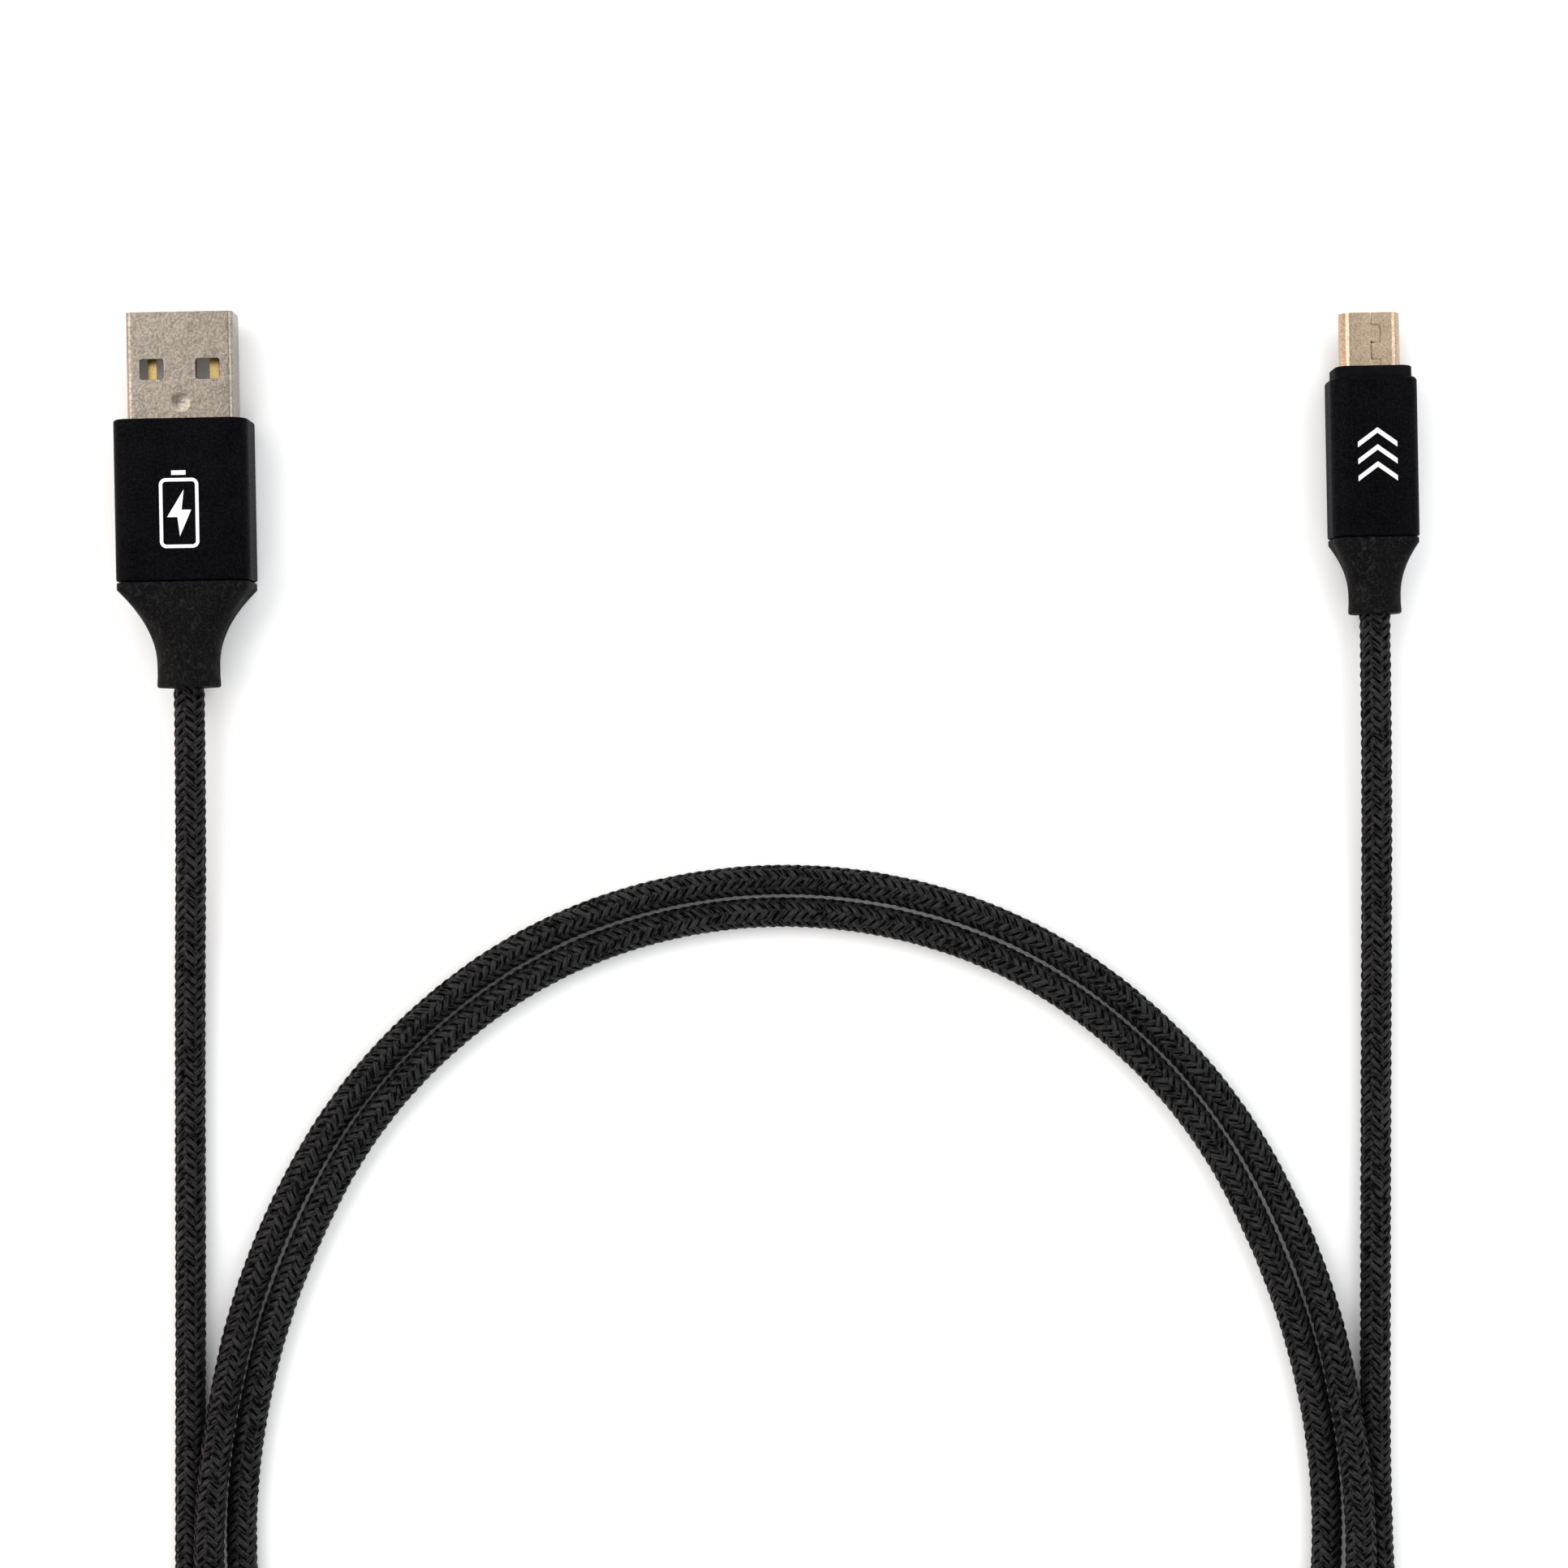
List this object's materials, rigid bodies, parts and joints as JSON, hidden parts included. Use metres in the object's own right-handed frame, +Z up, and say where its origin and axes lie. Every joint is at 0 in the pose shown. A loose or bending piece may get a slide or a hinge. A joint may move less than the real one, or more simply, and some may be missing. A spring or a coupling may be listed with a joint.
{
  "type": "charging cable",
  "caption": "Black braided charging cable: a flat rectangular host plug, a small latching device plug, metal housings, flared strain reliefs and a loosely looped cord.",
  "frame": {"origin": "middle of the two plugs' footprint, on the surface they lie on", "axes": "+X from the host plug to the device plug, +Y towards the plugs' tips, +Z up"},
  "size_m": [0.1464, 0.1956, 0.008],
  "materials": {
    "cord_braid": "matte",
    "shell_nickel": "satin",
    "shell_warm_nickel": "satin",
    "housing_aluminium": "satin",
    "strain_relief_rubber": "matte",
    "host_insulator_plastic": "satin",
    "device_insulator_plastic": "satin",
    "mould_plastic": "matte",
    "contact_gold": "polished",
    "spring_steel": "satin",
    "solder": "gloss",
    "copper": "satin",
    "can_steel": "satin",
    "crimp_brass": "satin",
    "shield_braid": "matte",
    "jacket_plastic": "satin",
    "wire_red": "satin",
    "wire_white": "satin",
    "wire_green": "satin",
    "wire_black": "satin"
  },
  "bodies": {
    "root": {"cord": "cord_braid", "device_braid_fold": "shield_braid", "device_conductor_ends": "copper", "device_contact_tails": "contact_gold", "device_crimp_ring": "crimp_brass", "device_housing": "housing_aluminium", "device_inner_mould": "mould_plastic", "device_insulator": "device_insulator_plastic", "device_jacket": "jacket_plastic", "device_latch_base": "spring_steel", "device_shell": "shell_warm_nickel", "device_shield_lower": "can_steel", "device_shield_upper": "can_steel", "device_solder_joints": "solder", "device_strain_relief": "strain_relief_rubber", "device_wire_data_minus": "wire_white", "device_wire_data_plus": "wire_green", "device_wire_ground": "wire_black", "device_wire_power": "wire_red", "host_braid_fold": "shield_braid", "host_conductor_ends": "copper", "host_contact_data_minus": "contact_gold", "host_contact_data_plus": "contact_gold", "host_contact_ground": "contact_gold", "host_contact_power": "contact_gold", "host_crimp_ring": "crimp_brass", "host_housing": "housing_aluminium", "host_inner_mould": "mould_plastic", "host_insulator": "host_insulator_plastic", "host_jacket": "jacket_plastic", "host_shell": "shell_nickel", "host_shield_lower": "can_steel", "host_shield_upper": "can_steel", "host_solder_joints": "solder", "host_strain_relief": "strain_relief_rubber", "host_wire_data_minus": "wire_white", "host_wire_data_plus": "wire_green", "host_wire_ground": "wire_black", "host_wire_power": "wire_red"},
    "latch_left_spring": {"device_latch_left": "spring_steel"},
    "latch_right_spring": {"device_latch_right": "spring_steel"},
    "contact_spring_1": {"device_contact_1": "contact_gold"},
    "contact_spring_2": {"device_contact_2": "contact_gold"},
    "contact_spring_3": {"device_contact_3": "contact_gold"},
    "contact_spring_4": {"device_contact_4": "contact_gold"},
    "contact_spring_5": {"device_contact_5": "contact_gold"}
  },
  "joints": [
    {"name": "latch_left_flex", "type": "hinge", "parent": "root", "child": "latch_left_spring", "pos_m": [0.06613, 0.01005, 0.00299], "axis": [1, 0, 0], "range_deg": [0, 3.6], "stiffness_Nm_per_rad": 0.08},
    {"name": "latch_right_flex", "type": "hinge", "parent": "root", "child": "latch_right_spring", "pos_m": [0.07043, 0.01005, 0.00299], "axis": [1, 0, 0], "range_deg": [0, 3.6], "stiffness_Nm_per_rad": 0.08},
    {"name": "contact_1_flex", "type": "hinge", "parent": "root", "child": "contact_spring_1", "pos_m": [0.06698, 0.01245, 0.00375], "axis": [1, 0, 0], "range_deg": [0, 3.2], "stiffness_Nm_per_rad": 0.02},
    {"name": "contact_2_flex", "type": "hinge", "parent": "root", "child": "contact_spring_2", "pos_m": [0.06763, 0.01245, 0.00375], "axis": [1, 0, 0], "range_deg": [0, 3.2], "stiffness_Nm_per_rad": 0.02},
    {"name": "contact_3_flex", "type": "hinge", "parent": "root", "child": "contact_spring_3", "pos_m": [0.06828, 0.01245, 0.00375], "axis": [1, 0, 0], "range_deg": [0, 3.2], "stiffness_Nm_per_rad": 0.02},
    {"name": "contact_4_flex", "type": "hinge", "parent": "root", "child": "contact_spring_4", "pos_m": [0.06893, 0.01245, 0.00375], "axis": [1, 0, 0], "range_deg": [0, 3.2], "stiffness_Nm_per_rad": 0.02},
    {"name": "contact_5_flex", "type": "hinge", "parent": "root", "child": "contact_spring_5", "pos_m": [0.06957, 0.01245, 0.00375], "axis": [1, 0, 0], "range_deg": [0, 3.2], "stiffness_Nm_per_rad": 0.02}
  ]
}
